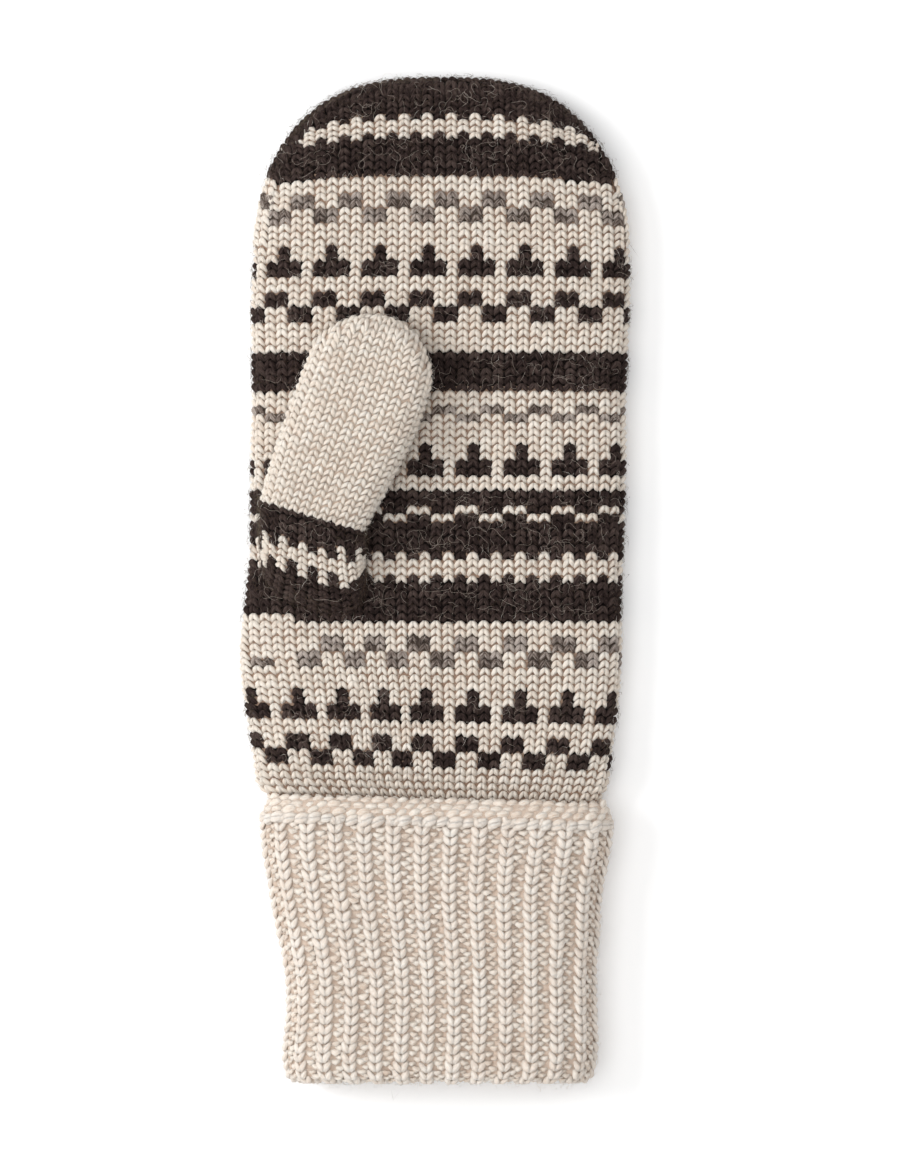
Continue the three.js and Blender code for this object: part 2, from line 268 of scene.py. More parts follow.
def thumb_section(distance, inset, rounded=True):
    """The thumb's tube across its axis at a distance from the crotch."""
    along = distance / THUMB_LENGTH
    to_tip = THUMB_LENGTH - inset - distance
    left = column(THUMB_ROWS, "left", along) * THUMB_WIDTH / 2 + inset
    right = column(THUMB_ROWS, "right", along) * THUMB_WIDTH / 2 - inset
    thick = column(THUMB_ROWS, "thick", along) * THUMB_THICKNESS - 2 * inset
    if rounded:
        width = opened(to_tip, THUMB_TIP_LENGTH - inset, ROUND_FULLNESS)
        middle = (left + right) / 2
        left, right = mix(middle, left, width), mix(middle, right, width)
    roll = opened(to_tip, THUMB_TIP_ROLL - inset, ROUND_FULLNESS)
    return section(left, right, inset + thick * (1 - roll) / 2, thick * roll, inset)


def height_over(tube, x, palm):
    """The height of a tube over a place across it: its middle plus or minus half its thickness times
    the root of 1 less a power of the share of the half width. The lying side is pressed flat."""
    half = np.maximum((tube["right"] - tube["left"]) / 2, 1e-6)
    share = np.clip(np.abs(x - (tube["left"] + tube["right"]) / 2) / half, 0, 1)
    rise = np.sqrt(1 - share ** np.where(palm, PALM_SQUARENESS, REST_SQUARENESS))
    rise = np.where(palm, rise, -rise)
    z = tube["bottom"] + tube["thickness"] * (1 + rise) / 2 - SETTLE * np.maximum(-rise, 0)
    return np.maximum(z, tube["rest"])


def read_off(goals, lengths, values):
    """Values at the goals in each row of rising lengths, on straight lines between them."""
    k = (lengths[:, None, :] <= goals[:, :, None]).sum(-1)
    k = np.clip(k, 1, lengths.shape[1] - 1)
    low, high = (np.take_along_axis(lengths, k - n, 1) for n in (1, 0))
    share = np.clip((goals - low) / np.maximum(high - low, 1e-9), 0, 1)
    return mix(np.take_along_axis(values, k - 1, 1), np.take_along_axis(values, k, 1), share)


def travelled(*coordinates):
    """How far along each row of points every point is."""
    steps = np.sqrt(sum(np.diff(c, axis=1) ** 2 for c in coordinates))
    return np.concatenate([np.zeros((len(steps), 1)), np.cumsum(steps, 1)], 1)


def round_tube(tube, places):
    """Points (x, z) round each section. A place is a share of the way round, from the right edge over
    the palm to the left edge at one half, and back under it; each half is shared out evenly."""
    tube = {key: np.atleast_1d(value)[:, None] for key, value in tube.items()}
    across = np.cos(np.linspace(0, np.pi, 121))[None, :]
    places = np.broadcast_to(places % 1, (len(tube["left"]), np.shape(places)[-1]))
    found = []
    for palm in (True, False):
        x = mix(tube["left"], tube["right"], (1 + across * (1 if palm else -1)) / 2)
        z = height_over(tube, x, palm)
        lengths = travelled(x, z)
        goals = np.clip((places * 2 if palm else places * 2 - 1), 0, 1) * lengths[:, -1:]
        found.append((read_off(goals, lengths, x), read_off(goals, lengths, z)))
    palm = places < 0.5
    return np.where(palm, found[0][0], found[1][0]), np.where(palm, found[0][1], found[1][1])


def stacked(x, y, z):
    return np.stack(np.broadcast_arrays(x, y, z), -1)


# Shapes that are made once and then set down hundreds of times

TIP_UV = 0.4  # how far the yarn map runs on over each pointed end


def tube_faces(count, sides):
    """A closed tube's faces: quads between its rings, numbered ring by ring, and at each end a fan to a
    point, which are numbered after the rings. Also the ring and the place where each quad begins."""
    n, m = (v.ravel() for v in np.meshgrid(np.arange(count - 1), np.arange(sides), indexing="ij"))
    nxt = (m + 1) % sides
    quads = np.stack([n * sides + m, (n + 1) * sides + m, (n + 1) * sides + nxt, n * sides + nxt], 1)
    place = np.arange(sides)
    after, last = (place + 1) % sides, (count - 1) * sides
    start, end = np.full(sides, count * sides), np.full(sides, count * sides + 1)
    fans = [np.stack([start, place, after], 1), np.stack([end, last + after, last + place], 1)]
    return quads, np.concatenate(fans), n, m


def yarn_piece(path, radii, sides=5, flat=0.85):
    """A short closed tube of yarn along a path (x, y, z): rings of points round it, wider than they
    are high, and a point at each end. Gives points, faces, and for each corner of the faces its place
    along and round the yarn."""
    path, radii = np.array(path, float), np.array(radii, float)
    ahead = np.gradient(path, axis=0)
    ahead /= np.linalg.norm(ahead, axis=1, keepdims=True)
    side = np.cross(ahead, [0, 0, 1.0])
    side /= np.linalg.norm(side, axis=1, keepdims=True)
    up = np.cross(side, ahead)
    turn = 2 * np.pi * np.arange(sides) / sides
    rings = path[:, None] + radii[:, None, None] * (
        np.cos(turn)[None, :, None] * side[:, None] + flat * np.sin(turn)[None, :, None] * up[:, None]
    )
    ends = [path[0] - ahead[0] * radii[0] * 0.7, path[-1] + ahead[-1] * radii[-1] * 0.7]
    points = np.concatenate([rings.reshape(-1, 3), ends])
    quads, fans, n, m = tube_faces(len(path), sides)
    along = np.concatenate([[0], np.cumsum(np.linalg.norm(np.diff(path, axis=0), axis=1))])
    around = 2 * np.pi * radii.max() / sides
    quad_uv = np.stack([
        np.stack([along[n], along[n + 1], along[n + 1], along[n]], 1),
        np.stack([m, m, m + 1, m + 1], 1) * around,
    ], -1)
    place = np.arange(sides)
    low, middle, high = (shift * around for shift in (place, place + 0.5, place + 1))

    def fan(tip, ring, first, second):
        lengths = np.tile([tip, ring, ring], (sides, 1))
        return np.stack([lengths, np.stack([middle, first, second], 1)], -1)

    fan_uv = np.concatenate([fan(-TIP_UV, 0, low, high), fan(along[-1] + TIP_UV, along[-1], high, low)])
    return {"points": points, "quads": quads, "tris": fans, "quad_uv": quad_uv, "tri_uv": fan_uv}


def joined(*pieces):
    """Several made-once shapes as one."""
    offsets = np.cumsum([0] + [len(p["points"]) for p in pieces[:-1]])
    return {
        "points": np.concatenate([p["points"] for p in pieces]),
        "quads": np.concatenate([p["quads"] + o for p, o in zip(pieces, offsets)]),
        "tris": np.concatenate([p["tris"] + o for p, o in zip(pieces, offsets)]),
        "quad_uv": np.concatenate([p["quad_uv"] for p in pieces]),
        "tri_uv": np.concatenate([p["tri_uv"] for p in pieces]),
    }


def stitch(plump, spread):
    """One knit stitch, its point towards +y: two legs that part below it and dip under the next."""
    def leg(side):
        path = [(1.42, -1.3, -0.8), (1.1, -0.6, -0.24), (0.6, 0.12, 0.2), (0.14, 0.76, 0.06)]
        return [(side * spread * x, y, z) for x, y, z in path]
    radii = np.array([0.46, 0.7, 0.8, 0.56]) * plump
    return joined(yarn_piece(leg(1), radii), yarn_piece(leg(-1), radii))


def purl_bump():
    """The back of a stitch in the furrow between two ribs: a short bowed piece of yarn across it."""
    return yarn_piece([(-1.0, -0.3, -0.3), (0, 0.15, 0.1), (1.0, -0.3, -0.3)], [0.6, 0.84, 0.6], flat=0.7)


def chain_link():
    """One link of the cast-off chain: two strands that lie along the edge and close together where
    they dip under the next link."""
    def strand(side):
        path = [
            (-2.2, 0.3, -0.9), (-1.4, 0.42, 0.0), (-0.3, 0.45, 0.3), (0.9, 0.38, 0.25), (1.9, 0.2, -0.5),
        ]
        return [(x, side * y + 0.3 * x, z) for x, y, z in path]
    radii = [0.5, 0.8, 0.95, 0.85, 0.5]
    return joined(*[yarn_piece(strand(side), radii, sides=8, flat=0.75) for side in (1, -1)])


def rim_loop():
    """One loop on the rim above the chain: a slanted strand that bows up and dips at both ends."""
    path = [(-1.9, -0.9, -0.7), (-1.1, -0.3, 0.0), (0.0, 0.15, 0.15), (1.1, 0.3, 0.0), (1.9, 0.1, -0.7)]
    return yarn_piece(path, [0.7, 0.95, 1.0, 0.95, 0.7], sides=6, flat=0.7)


def frames_of(grid):
    """Across, forward and outward vectors at each point of a grid of points [wale, row]: the steps
    to the next wale and row, and a unit vector square to both. Wales are numbered against x."""
    across = -np.gradient(grid, axis=0)
    forward = np.gradient(grid, axis=1)
    out = np.cross(across, forward)
    out /= np.maximum(np.linalg.norm(out, axis=-1, keepdims=True), 1e-9)
    return across, forward, out


class Knitting:
    """A growing list of places for one made-once shape: where, its three vectors and its colour."""

    def __init__(self):
        self.parts = []

    def lay(self, at, across, forward, out, colour):
        colour = np.broadcast_to(colour, at.shape[:-1])
        self.parts.append([v.reshape(-1, 3) for v in (at, across, forward, out)] + [colour.ravel()])

    def all(self):
        return [np.concatenate([part[n] for part in self.parts]) for n in range(5)]


def lay_grid(knitting, grid, colour, keep=None, pitch=(WALE, ROW)):
    """Lays a stitch on every kept point of a grid. Its vectors are scaled by how far apart the
    neighbours are, as shares of the pitch."""
    across, forward, out = frames_of(grid)
    across, forward = across / pitch[0], forward / pitch[1]
    keep = np.ones(grid.shape[:2], bool) if keep is None else keep
    colour = np.broadcast_to(colour, grid.shape[:2])
    knitting.lay(grid[keep], across[keep], forward[keep], out[keep], colour[keep])
    return knitting


# The hand's stitches


def row_height(row):
    """The height of a row's points on the middle of the palm."""
    pitch = np.where(row >= STRIPE_ROW, ROW, TIP_ROW)
    return STRIPE_HEIGHT - pitch * (row - STRIPE_ROW) - ROW / 2


def row_drop(row, x, y):
    """How far a row hangs lower at the sides: a cube of the distance from the middle that fades
    below the fingertips; near the cuff it slopes down to the right."""
    bow = BOW * np.exp(-row / BOW_FADE) * np.minimum(np.abs(x) / BOW_REACH, 1.3) ** 3
    return bow + SLOPE * x / SLOPE_REACH * ease((130 - y) / 50)


def wale_place(wale, y):
    """The wale's share of the way round the hand. Below the thumb the wales drift to the right, most
    of all on the left side."""
    at = wale + HAND_PHASE
    drift = np.interp(at, DRIFT["wale"], DRIFT["shift"])
    return (at - drift * ease((DRIFT_TOP - y) / DRIFT_LENGTH)) / HAND_WALES


def tube_grid(tube_of, levels, places, y, drop=None, rounded_of=None, palm=True):
    """Points [wale, row] on a tube. Each is where its wale's place is on the section at its height;
    where the end is rounded, a wale keeps its straight line and its height follows that form."""
    x_at, z_at = round_tube(tube_of(levels), places)
    spread = np.broadcast_to(levels, (len(y), len(levels)))
    if drop is not None:
        y = y - drop(read_off(y, spread, x_at.T), y)
    x, z = read_off(y, spread, x_at.T), read_off(y, spread, z_at.T)
    if rounded_of is not None:
        z = height_over(rounded_of(y), x, palm)
    return stacked(x, y, z)


def rim_profile(rounded_of, edge, inward, palm, reach=12.0, steps=60):
    """From each point of a tip's edge inwards over the palm or under the back: how far along the
    surface each step is, and its points."""
    depth = reach * np.linspace(0, 1, steps) ** 2
    spots = edge[:, None] + inward[:, None] * depth[None, :, None]
    z = height_over(rounded_of(spots[..., 1]), spots[..., 0], palm)
    return travelled(depth[None, :] + 0 * z, z), stacked(spots[..., 0], spots[..., 1], z)


def rim_grid(rounded_of, top, start, side, offsets, pitch):
    """Points [wale, row] on the strip that runs round a tip's edge on one side, from a height up to
    its very top. The rows go along the edge, and each wale lies at its own distance over it. Also
    gives the edge, and how deep in from it the strip reaches on the palm and on the back."""
    y = top - (top - start) * np.linspace(1, 0, 600) ** 3
    tube = rounded_of(y)
    x = tube["right"] if side > 0 else tube["left"]
    lengths = travelled(x[None, :], y[None, :])[0]
    count = int(lengths[-1] / pitch[1])
    goals = (np.arange(count) + 0.5) * lengths[-1] / count
    edge = np.stack([np.interp(goals, lengths, x), np.interp(goals, lengths, y)], 1)
    ahead = np.gradient(edge, axis=0)
    ahead /= np.linalg.norm(ahead, axis=1, keepdims=True)
    inward = np.stack([-ahead[:, 1], ahead[:, 0]], 1) * side
    grid = np.empty((len(offsets), count, 3))
    depths = {}
    for palm in (True, False):
        lengths, spots = rim_profile(rounded_of, edge, inward, palm)
        chosen = [n for n, offset in enumerate(offsets) if (offset >= 0) == palm]
        far = np.abs(offsets[chosen])
        goals = np.broadcast_to(np.append(far, far.max() + pitch[0] / 2), (count, len(chosen) + 1))
        found = stacked(*[read_off(goals, lengths, spots[..., axis]) for axis in range(3)])
        grid[chosen] = found[:, :-1].swapaxes(0, 1)
        depths[palm] = np.linalg.norm(found[:, -1, :2] - edge, axis=-1)
    return grid, edge, depths


RIM_OVERLAP = 0.7  # how far the wales that a strip cuts short reach under it


def inside_rim(grid, rounded_of, rims, palm):
    """Which points of a grid lie further in than the strips round the tip's edge reach."""
    tube = rounded_of(grid[..., 1])
    within = (grid[..., 0] > tube["left"]) & (grid[..., 0] < tube["right"])
    edge = np.concatenate([edge for _, edge, _ in rims])
    depth = np.concatenate([depths[palm] for _, _, depths in rims])
    gap = np.linalg.norm(grid[..., :2].reshape(-1, 1, 2) - edge[None], axis=-1)
    return within & (gap.min(1) > depth[gap.argmin(1)] - RIM_OVERLAP).reshape(grid.shape[:2])


def row_colours(wales, rows):
    """The chart's colours. Beside the gusset the stripe lies two rows higher, to meet the gusset's
    own, and below it the increases leave a small cream patch."""
    chart = charted(CHART)
    wales, rows = np.broadcast_arrays(wales[:, None], rows[None, :])
    beside = (wales > BESIDE_GUSSET[0]) & (wales < BESIDE_GUSSET[1])
    raised = np.where(beside & (rows >= RAISED_ROWS[0]) & (rows <= RAISED_ROWS[1]), rows + 2, rows)
    colour = chart[np.clip(raised - FIRST_ROW, 0, len(chart) - 1), (18 - wales) % 4]
    return np.where(beside & (rows >= PATCH_ROWS[0]) & (rows <= PATCH_ROWS[1]), CREAM, colour)


HAND_LEVELS = np.arange(HAND_BOTTOM, HAND_TOP - SUNK, 1.0)
SIDE_START = HAND_TOP - TIP_LENGTH
RIM_WALES = np.array([-1, 0])  # on each side, the two at the edge run on round the fingertips


def hand_round(y):
    return hand_section(y, SUNK)


def hand_straight(y):
    return hand_section(y, SUNK, rounded=False)


def hand_grid(wales, rows, **end):
    places = wale_place(wales[None, :], HAND_LEVELS[:, None])
    y = np.broadcast_to(row_height(rows)[None, :], (len(wales), len(rows)))

    def drop(x, y):
        return row_drop(rows[None, :], x, y)

    return tube_grid(hand_straight, HAND_LEVELS, places, y, drop, **end)


def knit_hand():
    """The hand's stitches: closed rounds up to where the end begins to round off, then straight wales
    on the palm and the back that it cuts short, and two wales on each side that run on round it."""
    stitches = Knitting()
    half = HAND_WALES // 2
    rows = np.arange(LAST_ROW, FIRST_ROW - 1, -1)
    straight = row_height(rows) < SIDE_START
    low, high = rows[straight], rows[~straight]
    wales = np.arange(-1, HAND_WALES + 1)
    inner = (wales[:, None] >= 0) & (wales[:, None] < HAND_WALES) & (low >= 0)[None, :]
    lay_grid(stitches, hand_grid(wales, low), row_colours(wales, low), inner)
    rims = []
    for side, middle in ((1, 0), (-1, half)):
        start = row_height(high[0]) - ROW / 2
        offsets = (RIM_WALES + HAND_PHASE) * WALE * side
        rims.append(rim_grid(hand_round, HAND_TOP - SUNK, start, side, offsets, (WALE, ROW)))
        band = rims[-1][0]
        near = (STRIPE_HEIGHT - band[0, :, 1]) / ROW + STRIPE_ROW
        hang = row_drop(near, band[0, :, 0], band[0, :, 1])
        near = np.round(near - hang / ROW).astype(int)
        colour = np.where(near < EDGE_DARK_ROWS, DARK, row_colours((middle + RIM_WALES) % HAND_WALES, near))
        lay_grid(stitches, band, colour)
    for first, palm in ((0, True), (half, False)):
        flat = np.arange(first + 1, first + half - 1)
        grid = hand_grid(flat, high, rounded_of=hand_round, palm=palm)
        lay_grid(stitches, grid, row_colours(flat, high), inside_rim(grid, hand_round, rims, palm))
    return stitches


# The thumb and its gusset

AXIS = np.array([math.sin(THUMB_LEAN), math.cos(THUMB_LEAN), 0])
ACROSS_AXIS = np.array([AXIS[1], -AXIS[0], 0])
PALM_TOP = column(HAND_ROWS, "thick", THUMB_HEIGHT / HAND_LENGTH) * HAND_THICKNESS
HINGE = np.array([THUMB_INSET - HAND_WIDTH / 2, CROTCH_Y, PALM_TOP + 2 * CLEARANCE - CROTCH_RADIUS])


def on_thumb(points):
    """Points (across, along, height) of the thumb's own frame, set on its axis at the crotch."""
    reach = points[..., 2:] + CROTCH_RADIUS
    return HINGE + points[..., :1] * ACROSS_AXIS + points[..., 1:2] * AXIS + reach * np.array([0, 0, 1.0])


def gusset_reach(tilt):
    """How far the gusset's upper side is from the hinge at a tilt: a swollen ramp from the top of the
    thumb down to the palm, where the powers of its two shares add up to 1."""
    upright = THUMB_THICKNESS * THUMB_ROWS["thick"][0] + CROTCH_RADIUS
    lying = GUSSET_LENGTH + CROTCH_RADIUS
    shares = (np.cos(tilt) / upright) ** GUSSET_FULLNESS + (np.sin(tilt) / lying) ** GUSSET_FULLNESS
    return shares ** (-1 / GUSSET_FULLNESS)


def gusset_rings(tilts, places, inset):
    """Points [tilt, place] on the gusset: the thumb's first section tipped back towards the wrist
    about the hinge, and drawn out to the ramp's reach."""
    tube = {key: value + 0 * tilts for key, value in thumb_section(0.0, inset).items()}
    tube["thickness"] = gusset_reach(tilts) - CROTCH_RADIUS - 2 * inset
    x, z = round_tube(tube, places)
    reach = (z + CROTCH_RADIUS)[..., None]
    turn = stacked(0, -np.sin(tilts), np.cos(tilts))[:, None, :]
    return HINGE + x[..., None] * ACROSS_AXIS + reach * turn


def thumb_round(distance):
    return thumb_section(distance, SUNK)


def thumb_straight(distance):
    return thumb_section(distance, SUNK, rounded=False)


THUMB_PHASE = 0.25  # how far the first wale is from the thumb's edge, in wales


def knit_thumb():
    """The thumb's stitches, laid as the hand's are. The underside lies on the palm, so only its
    outermost wales are laid."""
    stitches = Knitting()
    pitch = (WALE, THUMB_ROW)
    half = THUMB_WALES / 2
    levels = np.arange(0, THUMB_LENGTH - SUNK, 0.8)
    start = THUMB_LENGTH - THUMB_TIP_LENGTH
    low = np.arange(0.4, start, THUMB_ROW)
    high = np.arange(low[-1] + THUMB_ROW, THUMB_LENGTH - SUNK, THUMB_ROW)
    wales = np.arange(-4, 18)
    within = (wales > wales[0]) & (wales < wales[-1])
    shown = np.broadcast_to(within[:, None], (len(wales), len(low)))
    y = np.broadcast_to(low, (len(wales), len(low)))
    grid = tube_grid(thumb_straight, levels, (wales + THUMB_PHASE) / THUMB_WALES, y)
    lay_grid(stitches, on_thumb(grid), CREAM, shown, pitch)
    rims = []
    rim_start = high[0] - THUMB_ROW / 2
    for side in (1, -1):
        offsets = (RIM_WALES + THUMB_PHASE)[::side] * WALE
        rims.append(rim_grid(thumb_round, THUMB_LENGTH - SUNK, rim_start, side, offsets, pitch))
        lay_grid(stitches, on_thumb(rims[-1][0]), CREAM, None, pitch)
    flat = np.arange(1, 12)
    y = np.broadcast_to(high, (len(flat), len(high)))
    grid = tube_grid(thumb_straight, levels, (flat + THUMB_PHASE) / THUMB_WALES, y, None, thumb_round)
    lay_grid(stitches, on_thumb(grid), CREAM, inside_rim(grid, thumb_round, rims, True), pitch)
    return stitches


STRIPE_LEFT = 144.8  # the height of the middle of the gusset's stripe at the hand's left edge
STRIPE_SLOPE = 0.28
STRIPE_SIDES = (140.6, 142.6)  # its height on the steep right and left sides, to meet the hand's own
STEEP_WALES = (2, 11)  # the wales before and after these are on those sides
SIDE_SWELL, RIGHT_SWELL = 0.8, 0.3  # how tall its rows are there, and how much taller to the right


def knit_gusset():
    """The gusset's stitches: the thumb's wales run on down the ramp, in rows that are even along its
    ridge. Its toothed cream stripe, seen from above, slopes down to the right."""
    stitches = Knitting()
    fine = np.linspace(0, np.pi / 2, 200)
    reach = gusset_reach(fine) - SUNK
    lengths = travelled((reach * np.sin(fine))[None, :], (reach * np.cos(fine))[None, :])[0]
    chart = charted(GUSSET_CHART)
    count = int(lengths[-1] / ROW)
    tilts = np.interp((np.arange(count, -1, -1) - 0.5) * ROW, lengths, fine)
    wales = np.arange(-2, 15)
    grid = gusset_rings(tilts, (wales + THUMB_PHASE) / THUMB_WALES, SUNK).swapaxes(0, 1)
    rows = np.arange(count, -1, -1)
    from_left = grid[..., 0] + HAND_WIDTH / 2
    right, left = (wales < STEEP_WALES[0])[:, None], (wales > STEEP_WALES[1])[:, None]
    level = np.select([right, left], STRIPE_SIDES, STRIPE_LEFT - STRIPE_SLOPE * from_left)
    swell = np.where(right | left, SIDE_SWELL, 1 + RIGHT_SWELL * ease((from_left - 8) / 18))
    line = np.round(len(chart) / 2 + (level - grid[..., 1]) / ROW / swell).astype(int)
    colour = chart[np.clip(line, 0, len(chart) - 1), wales[:, None] % 4]
    shown = (wales[:, None] > -2) & (wales[:, None] < 14) & (rows[None, :] > 0)
    lay_grid(stitches, grid, colour, shown, (WALE, ROW))
    return stitches


# The cuff


def cuff_path(run):
    """The turned-up cuff's insets, heights and depths of rib at distances along it: from the rim down
    its outer layer, round the fold and up its inner layer."""
    outer = CUFF_HEIGHT - FOLD_RADIUS
    bend = np.pi * FOLD_RADIUS
    angle = np.clip((run - outer) / FOLD_RADIUS, 0, np.pi)
    inset = FOLD_RADIUS * (1 - np.cos(angle))
    y = np.where(run < outer, CUFF_HEIGHT - run, FOLD_RADIUS * (1 - np.sin(angle)))
    y = np.where(run > outer + bend, FOLD_RADIUS + run - outer - bend, y)
    return inset, y, np.cos(angle)


def sloped(points):
    """The turned-up rim slopes down to the right, more so towards its top."""
    x, y, z = np.moveaxis(points, -1, 0)
    return stacked(x, y - SLOPE * x / SLOPE_REACH * ease((y - 30) / 40), z)


def cuff_rings(run, places, sunk):
    """Points [run, place] on the cuff, sunk under its outer surface, or under its inner one beyond
    the fold."""
    inset, y, facing = cuff_path(run)
    y = np.where(np.abs(facing) < 1, y + sunk * np.sqrt(1 - facing**2), y)
    x, z = round_tube(cuff_section(y, inset + sunk * facing), places)
    return sloped(stacked(x, y[:, None] + 0 * x, z))


RIB_SQUEEZE = 0.9  # the ribs' own stitches are wider than half the distance between ribs
RIB_ROW = 0.8  # and taller than the distance between rows; less is larger, in both
RIB_LIFT = 0.05  # how much higher they lie than the hand's stitches
BUMP_SINK = 0.4  # how far under the ribs the bumps lie, as a share of the ribs' depth
TOP_RUN = -2.6  # the ribs begin this far up under the edge
BUMP_ASIDE = 0.1  # how far the two rows of bumps are from the middle of the furrow, in ribs
INNER_RUN = 12  # how far up the inner layer stitches are laid, beyond what shows in the mouth


def knit_cuff():
    """The ribs' stitches, whose points run down to the fold and round it, and between them the bumps
    of the stitches that face the other way."""
    ribs, bumps = Knitting(), Knitting()
    length = CUFF_HEIGHT - FOLD_RADIUS + np.pi * FOLD_RADIUS + INNER_RUN
    run = np.arange(TOP_RUN, length, CUFF_ROW)
    numbers = np.arange(-1, RIBS + 1)
    counted = (numbers >= 0) & (numbers < RIBS)
    shown = np.broadcast_to(counted[:, None], (len(numbers), len(run)))
    for shift, late, sunk, pieces, pitch in (
        (0, 0, SUNK - RIB_LIFT, ribs, (2 * WALE * RIB_SQUEEZE, CUFF_ROW * RIB_ROW)),
        (0.5 - BUMP_ASIDE, 0, SUNK + RIB_DEPTH * BUMP_SINK, bumps, (2 * WALE, CUFF_ROW)),
        (0.5 + BUMP_ASIDE, 0.5, SUNK + RIB_DEPTH * BUMP_SINK, bumps, (2 * WALE, CUFF_ROW)),
    ):
        grid = cuff_rings(run + late * CUFF_ROW, ((numbers + shift) / RIBS)[::-1], sunk).swapaxes(0, 1)
        lay_grid(pieces, grid, CREAM, shown, pitch)
    return ribs, bumps


def ring_of(count, y, inset, shift=0.0):
    """A grid of one round of places at a height on the cuff's edge, with a row below and above it for
    the directions, and which of its points count."""
    numbers = np.arange(-1, count + 1)
    levels = np.array([y - 1, y, y + 1.0])
    x, z = round_tube(cuff_section(levels, inset), (numbers + shift) / count)
    grid = sloped(stacked(x, levels[:, None] + 0 * x, z)).swapaxes(0, 1)
    counted = (numbers[:, None] >= 0) & (numbers[:, None] < count) & (levels == y)[None, :]
    return grid, counted


EDGE_LINKS = 58
LINK = 3.72
EDGE_ROUNDS = table("""
    height inset shift
    71.1 0.8 0.0
    73.3 1.2 0.3
    74.8 1.6 0.8
    76.3 2.4 0.45
""")


def knit_edge():
    """The cast-off edge: the first round in the table is of fat links, and those above it on the rim
    are of loops. A round is shifted along by a share of a link."""
    links, loops = Knitting(), Knitting()
    for number, (y, inset, shift) in enumerate(zip(*EDGE_ROUNDS.values())):
        grid, counted = ring_of(EDGE_LINKS, y, inset, shift)
        lay_grid(loops if number else links, grid, CREAM, counted, (LINK, 1.0))
    return links, loops


# From places to meshes

# How much each stitch varies in size and in turn, and how far it is moved across, along and up
UNEVEN_SIZE, UNEVEN_TURN, UNEVEN_PLACE = 0.05, 0.06, (0.06, 0.09, 0.06)


def stamped(shape, places, loose=1.0):
    """The made-once shape set down at every place, each a little shifted, turned and resized, and
    pressed flat where it meets the table."""
    at, across, forward, out = places[:4]
    count = len(at)
    shift, turn, size = (chance.normal(0, 1, (count, n)) * loose for n in (3, 1, 1))
    x, y, z = (shape["points"][None, :, n] * (1 + UNEVEN_SIZE * size) for n in range(3))
    turn = UNEVEN_TURN * turn
    aside, ahead, up = (UNEVEN_PLACE[n] * shift[:, n : n + 1] for n in range(3))
    x, y, z = x - turn * y + aside, y + turn * x + ahead, z + up
    points = at[:, None] + across[:, None] * x[..., None] + forward[:, None] * y[..., None]
    points = points + out[:, None] * z[..., None]
    points[..., 2] = np.maximum(points[..., 2], 0)
    starts = (np.arange(count) * len(shape["points"]))[:, None, None]
    return {
        "points": points.reshape(-1, 3),
        "quads": (shape["quads"][None] + starts).reshape(-1, 4),
        "tris": (shape["tris"][None] + starts).reshape(-1, 3),
        "quad_uv": np.tile(shape["quad_uv"], (count, 1, 1)),
        "tri_uv": np.tile(shape["tri_uv"], (count, 1, 1)),
        "tone": np.repeat(chance.random(count), len(shape["points"])),
    }


def make_piece(name, form, finishes, replaced=(), face_finish=None):
    """A piece from arrays: points in millimetres, four- and three-cornered faces, and where they are
    given a yarn map and a tone for each stitch. It rides on the frame's one body."""
    mesh = bpy.data.meshes.new(name)
    points = (form["points"] + FOLD_PLACE) * METRES
    quads, tris = form["quads"], form["tris"]
    mesh.vertices.add(len(points))
    mesh.vertices.foreach_set("co", points.astype(np.float32).ravel())
    corners = np.concatenate([quads.ravel(), tris.ravel()]).astype(np.int32)
    sizes = np.concatenate([np.full(len(quads), 4), np.full(len(tris), 3)])
    mesh.loops.add(len(corners))
    mesh.loops.foreach_set("vertex_index", corners)
    mesh.polygons.add(len(sizes))
    mesh.polygons.foreach_set("loop_start", np.concatenate([[0], np.cumsum(sizes)[:-1]]).astype(np.int32))
    for finish in finishes:
        mesh.materials.append(finish)
    if face_finish is not None:
        mesh.polygons.foreach_set("material_index", face_finish.astype(np.int32))
    mesh.polygons.foreach_set("use_smooth", np.ones(len(sizes), bool))
    if "quad_uv" in form:
        yarn = mesh.uv_layers.new(name="yarn")
        uv = np.concatenate([form["quad_uv"].reshape(-1, 2), form["tri_uv"].reshape(-1, 2)])
        yarn.data.foreach_set("uv", uv.astype(np.float32).ravel())
    if "tone" in form:
        tone = mesh.attributes.new("tone", "FLOAT", "POINT")
        tone.data.foreach_set("value", form["tone"].astype(np.float32))
    mesh.update(calc_edges=True)
    piece = bpy.data.objects.new(name, mesh)
    bpy.context.scene.collection.objects.link(piece)
    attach(piece, "root")
    if replaced:
        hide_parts(*replaced)
    return piece


